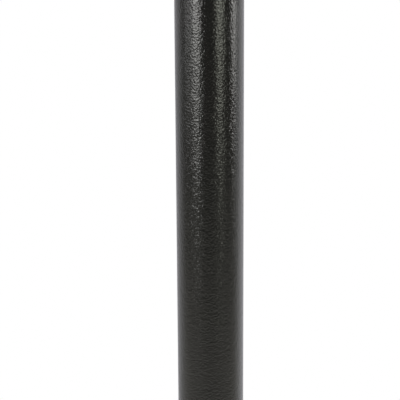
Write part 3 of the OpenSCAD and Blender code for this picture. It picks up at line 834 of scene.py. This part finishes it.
def make_piece(name, shape, body, slot, *nodes):
    """Makes a bmesh into a smooth piece that rides on a body, and may replace CAD nodes."""
    bmesh.ops.recalc_face_normals(shape, faces=shape.faces)
    for face in shape.faces:
        face.smooth = True
    mesh = bpy.data.meshes.new(name)
    shape.to_mesh(mesh)
    shape.free()
    mesh.materials.append(finishes[slot])
    piece = bpy.data.objects.new(name, mesh)
    bpy.context.scene.collection.objects.link(piece)
    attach(piece, body)
    if nodes:
        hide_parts(*nodes)
    print(name, "has", len(mesh.polygons), "faces")


print("loft helpers: add_loft, oval_ring, flat_ring, make_piece")

# %% [markdown]
# ## The braided wick
#
# A round wick is a tubular braid over a bundle of loose yarn. Six carriers wind one way and
# six the other, each with three yarns side by side, and they pass over and under each other
# in turn. A texture can draw a braid, but the wick stands free in the middle of the burner
# and its outline shows, so each yarn is modelled.
#
# On a braid all the crossings follow one rule. A carrier that turns by an angle per metre
# meets the next carrier of the other way at equal steps of height, so its rise and fall is
# one cosine of the height, and the other way's is the same with its sign changed.

# %% Yarn paths

CARRIERS = 6
YARNS = 3
YARN_WIDTH = 1.2 * MM
YARN_THICKNESS = 0.85 * MM
WEAVE_LIFT = 0.36 * MM
BRAID_ANGLE = math.radians(38)
STEPS_PER_WAVE = 9
TIP_ROUND = 2.5 * MM
TIP_PULL = 0.22
BRAID_MARGIN = 0.05 * MM

braid_r = wick_r - YARN_THICKNESS / 2 - WEAVE_LIFT - BRAID_MARGIN
turn_rate = math.tan(BRAID_ANGLE) / braid_r
waves = CARRIERS * turn_rate * (wick_high - wick_low) / math.tau
yarn_steps = round(waves * STEPS_PER_WAVE)


def tip_share(z):
    """How wide the wick is at a height: 1 all along, and less where its tip is rounded."""
    into_tip = max(0, (z - (wick_high - TIP_ROUND)) / TIP_ROUND)
    return 1 - TIP_PULL * into_tip ** 2


def yarn_rings(way, start, offset, top):
    """Rings of one yarn. way is 1 or -1, start its carrier's angle, offset its place there."""
    rings = []
    for step in range(yarn_steps + 1):
        z = wick_low + (top - wick_low) * step / yarn_steps
        wind = turn_rate * (z - wick_low)
        lift = way * WEAVE_LIFT * math.cos(CARRIERS * (wind + way * offset / 2))
        angle = start + offset + way * wind
        outward = Vector((math.cos(angle), math.sin(angle), 0))
        around = Vector((-outward.y, outward.x, 0))
        side = math.cos(BRAID_ANGLE) * around - way * math.sin(BRAID_ANGLE) * Vector((0, 0, 1))
        centre = (braid_r + lift) * tip_share(z) * outward + Vector((0, 0, z))
        rings.append(oval_ring(centre, YARN_WIDTH / 2 * side, YARN_THICKNESS / 2 * outward, 6))
    return rings


print("braid radius", round(braid_r / MM, 2), "mm,", round(waves, 1), "waves in a yarn")

# %% Core and loose fibres

CORE_SIDES = 40
CORE_LEVELS = 30
CORE_GAP = 0.2 * MM
CORE_DROP = 0.9 * MM
HAIRS = 70
HAIR_R = 0.05 * MM
HAIR_STEPS = 4
HAIR_ROOT = 1.7 * MM


def add_core(shape, draw):
    """The bundle of loose yarn inside the braid, with an uneven top."""
    core_r = braid_r - CORE_GAP
    core_top = wick_high - CORE_DROP
    rings = []
    for level in range(CORE_LEVELS + 1):
        z = wick_low + (core_top - wick_low) * level / CORE_LEVELS
        rings.append(flat_ring(core_r * tip_share(z), z, CORE_SIDES))
    for share in (0.75, 0.55, 0.35, 0.15):
        ring = flat_ring(core_r * share, core_top, CORE_SIDES)
        rings.append([point + Vector((0, 0, draw.uniform(-0.1, 0.5) * MM)) for point in ring])
    add_loft(shape, rings)


def add_hairs(shape, draw):
    """Loose fibres that stand up out of the tip."""
    for _ in range(HAIRS):
        angle = draw.uniform(0, math.tau)
        outward = Vector((math.cos(angle), math.sin(angle), 0))
        lean = draw.uniform(-0.25, 0.25)
        root = Vector((0, 0, wick_high - HAIR_ROOT))
        foot = draw.uniform(0.15, 0.75) * wick_r * outward + root
        length = draw.uniform(0.9, 1.6) * MM
        rings = []
        for step in range(HAIR_STEPS + 1):
            share = step / HAIR_STEPS
            centre = foot + length * (share * Vector((0, 0, 1)) + lean * share ** 2 * outward)
            size = HAIR_R * (1 - 0.6 * share)
            rings.append(oval_ring(centre, Vector((size, 0, 0)), Vector((0, size, 0)), 4))
        add_loft(shape, rings)


print("core with", CORE_SIDES, "sides, and", HAIRS, "loose fibres")

# %% Braid the wick

WICK_SEED = 5


def make_wick():
    """The braided wick: core, yarns of both ways, and loose fibres."""
    draw = random.Random(WICK_SEED)
    shape = bmesh.new()
    add_core(shape, draw)
    yarn_angle = YARN_WIDTH / math.cos(BRAID_ANGLE) / braid_r
    for way in (1, -1):
        for carrier in range(CARRIERS):
            for yarn in range(YARNS):
                offset = (yarn - (YARNS - 1) / 2) * yarn_angle
                top = wick_high - draw.uniform(0.1, 1.1) * MM
                add_loft(shape, yarn_rings(way, math.tau * carrier / CARRIERS, offset, top))
    add_hairs(shape, draw)
    make_piece("braided_wick", shape, "wick_rope", "wick_fibre", "wick")


make_wick()

# %% [markdown]
# ## The threaded collar
#
# The cap screws on a brass collar, which is soldered into the can's dome. Its thread shows
# as soon as the burner is taken out, so it is modelled: the collar's section is turned round
# the axis, and its groove climbs by one pitch for each turn. The groove runs out at both ends,
# as it does when the cutter is drawn back. Screw modifiers make such a sweep too, but their
# ends stay open, and this loft is closed.

# %% Collar

COLLAR_BORE_R = 22 * MM
COLLAR_FOOT_H = 1.5 * MM
COLLAR_EDGE = 0.35 * MM
COLLAR_SIDES = 150
COLLAR_LEVELS = 54
RUN_OUT = 0.1
GROOVE_SHARPNESS = 1.3
collar_foot_r, collar_low, collar_high = turned_size("can_collar")


def collar_section(angle):
    """(radius, height) pairs of the collar's section at one angle round the axis."""
    foot_top = collar_low + COLLAR_FOOT_H
    section = [
        (COLLAR_BORE_R, collar_low), (collar_foot_r - COLLAR_EDGE, collar_low),
        (collar_foot_r, collar_low + COLLAR_EDGE), (collar_foot_r, foot_top - COLLAR_EDGE),
        (collar_foot_r - COLLAR_EDGE, foot_top),
    ]
    for level in range(COLLAR_LEVELS + 1):
        share = level / COLLAR_LEVELS
        z = foot_top + (collar_high - COLLAR_EDGE - foot_top) * share
        turns = (z - foot_top) / THREAD_PITCH - angle / math.tau
        groove = 0.5 - 0.5 * math.cos(math.tau * turns)
        fade = min(1, share / RUN_OUT, (1 - share) / RUN_OUT)
        section.append((COLLAR_CREST_R - THREAD_DEPTH * fade * groove ** GROOVE_SHARPNESS, z))
    return section + [(COLLAR_CREST_R - COLLAR_EDGE, collar_high), (COLLAR_BORE_R, collar_high)]


def make_collar():
    """The brass collar with a real thread, in place of the plain CAD one."""
    shape = bmesh.new()
    rings = []
    for side in range(COLLAR_SIDES):
        angle = math.tau * side / COLLAR_SIDES
        outward = Vector((math.cos(angle), math.sin(angle), 0))
        rings.append([r * outward + Vector((0, 0, z)) for r, z in collar_section(angle)])
    add_loft(shape, rings, closed=True)
    make_piece("threaded_collar", shape, "fuel_can", "burner_brass", "can_collar")


make_collar()

# %% [markdown]
# ## Weld beads on the head
#
# The head is a welded assembly, and the coat goes over the welds. A bead is a row of frozen
# puddles, each one lapping over the last, which shows as ripples under the paint. It could be
# a ripple texture, but a bead also fills the corner between two pieces, and that catches the
# light. So the beads are lofts along the joint, and their rings swell and shrink.

# %% A bead along a closed joint

PUDDLE_LENGTH = 2.1 * MM
RINGS_PER_PUDDLE = 6
BEAD_SIDES = 12


def add_bead(shape, point_at, length, radius, draw):
    """A bead along a joint. point_at gives the joint's point for a share from 0 to 1."""
    puddles = round(length / PUDDLE_LENGTH)
    count = puddles * RINGS_PER_PUDDLE
    sizes = [draw.uniform(0.94, 1.05) for _ in range(puddles)]
    rings = []
    for step in range(count):
        share = step / count
        centre = point_at(share)
        along = (point_at(share + 0.5 / count) - point_at(share - 0.5 / count)).normalized()
        across = along.cross(Vector((centre.x, centre.y, 0))).normalized()
        ripple = 0.82 + 0.18 * abs(math.sin(math.pi * share * puddles))
        size = radius * ripple * sizes[step // RINGS_PER_PUDDLE]
        rings.append(oval_ring(centre, size * across, size * across.cross(along), BEAD_SIDES))
    add_loft(shape, rings, closed=True)


print("puddles of", round(PUDDLE_LENGTH / MM, 1), "mm")

# %% Beads round the socket's top and the screw boss

BEAD_SEED = 11
SOCKET_R = 14.95 * MM
SOCKET_BEAD_R = 1.3 * MM
SOCKET_BEAD_OUT = 0.2 * MM
SOCKET_BEAD_DROP = 0.45 * MM
BOSS_BEAD_R = 0.8 * MM
socket_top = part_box("head_socket")[1].z
boss_low, boss_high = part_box("screw_boss")
boss_r = (boss_high.y - boss_low.y) / 2
boss_z = (boss_high.z + boss_low.z) / 2


def socket_joint(share):
    """A point of the corner between the socket and the cup's underside."""
    turn = math.tau * share
    r = SOCKET_R + SOCKET_BEAD_OUT
    return Vector((r * math.cos(turn), r * math.sin(turn), socket_top - SOCKET_BEAD_DROP))


def boss_joint(share):
    """A point of the curve where the screw boss meets the socket's wall."""
    turn = math.tau * share
    y = boss_r * math.cos(turn)
    return Vector((math.sqrt(SOCKET_R ** 2 - y ** 2), y, boss_z + boss_r * math.sin(turn)))


def make_beads():
    """The beads round the socket's top and round the boss."""
    draw = random.Random(BEAD_SEED)
    shape = bmesh.new()
    add_bead(shape, socket_joint, math.tau * SOCKET_R, SOCKET_BEAD_R, draw)
    add_bead(shape, boss_joint, math.tau * boss_r, BOSS_BEAD_R, draw)
    make_piece("socket_welds", shape, "head", "powder_coat")


make_beads()

# %% [markdown]
# ## Tacks on the waist hoop
#
# The hoop of wire round the ribs is only tacked to each of them, with a touch of the welder
# above the wire and another below. A tack is a small rough lump. A metaball could make it, but
# a sphere that is squeezed and ruffled a little takes two lines and has fewer faces.

# %% Tacks between the waist hoop and the ribs

RIBS = 12
TACK_SIZE = Vector((1.1, 2.6, 1.3)) * MM
TACK_RISE = 1.5 * MM
TACK_LEAN = 0.35 * MM
hoop_out_r, hoop_low, hoop_high = turned_size("cage_waist_hoop")


def make_tacks():
    """Two small tacks at each rib, above and below the hoop's wire."""
    draw = random.Random(BEAD_SEED + 1)
    shape = bmesh.new()
    wire_d = hoop_high - hoop_low
    waist_z = (hoop_high + hoop_low) / 2
    for rib in range(RIBS):
        turn = Matrix.Rotation(math.tau * rib / RIBS, 3, "Z")
        for side in (-1, 1):
            lump = bmesh.ops.create_icosphere(shape, subdivisions=3, radius=1)["verts"]
            r = hoop_out_r - wire_d + side * TACK_LEAN
            centre = Vector((r, 0, waist_z + side * TACK_RISE))
            swell = draw.uniform(0.9, 1.1)
            for vert in lump:
                rough = 1 + 0.05 * math.sin(9 * vert.co.y + 4 * vert.co.x + rib)
                vert.co = turn @ (centre + rough * swell * vert.co * TACK_SIZE)
    make_piece("hoop_tacks", shape, "head", "powder_coat")


make_tacks()
